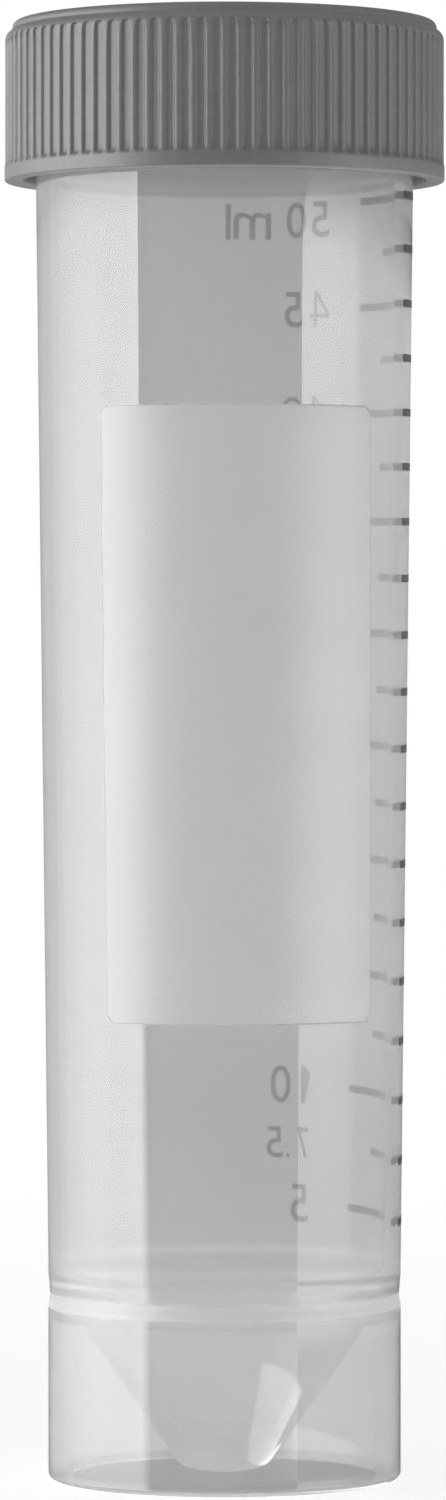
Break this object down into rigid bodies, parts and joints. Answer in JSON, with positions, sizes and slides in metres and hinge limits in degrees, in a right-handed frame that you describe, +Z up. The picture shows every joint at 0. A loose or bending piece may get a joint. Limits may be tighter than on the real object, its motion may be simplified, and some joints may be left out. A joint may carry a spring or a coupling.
{
  "type": "self-standing conical tube",
  "caption": "Translucent plastic test tube with a conical bottom inside a round standing skirt, closed by a ribbed screw cap with a plug seal.",
  "frame": {"origin": "centre of the foot of the standing skirt, in the plane the tube stands on", "axes": "+Z up the tube's axis to the cap; -Y faces the frosted writing panel; +X towards the left-hand side of the printed scale as seen from behind"},
  "size_m": [0.0348, 0.0348, 0.115],
  "materials": {
    "tube_wall": "translucent moulded polypropylene, glossy, slightly milky, with a frosted writing panel and a printed grey scale",
    "cap_plastic": "dark grey moulded plastic, satin, ribbed"
  },
  "bodies": {
    "tube_body": {"tube": "tube_wall"},
    "cap_body": {"screw_cap": "cap_plastic"}
  },
  "joints": [
    {"name": "cap_lift", "type": "slide", "parent": "tube_body", "child": "cap_body", "axis": [0, 0, 1], "range_m": [0, 0.04]}
  ]
}
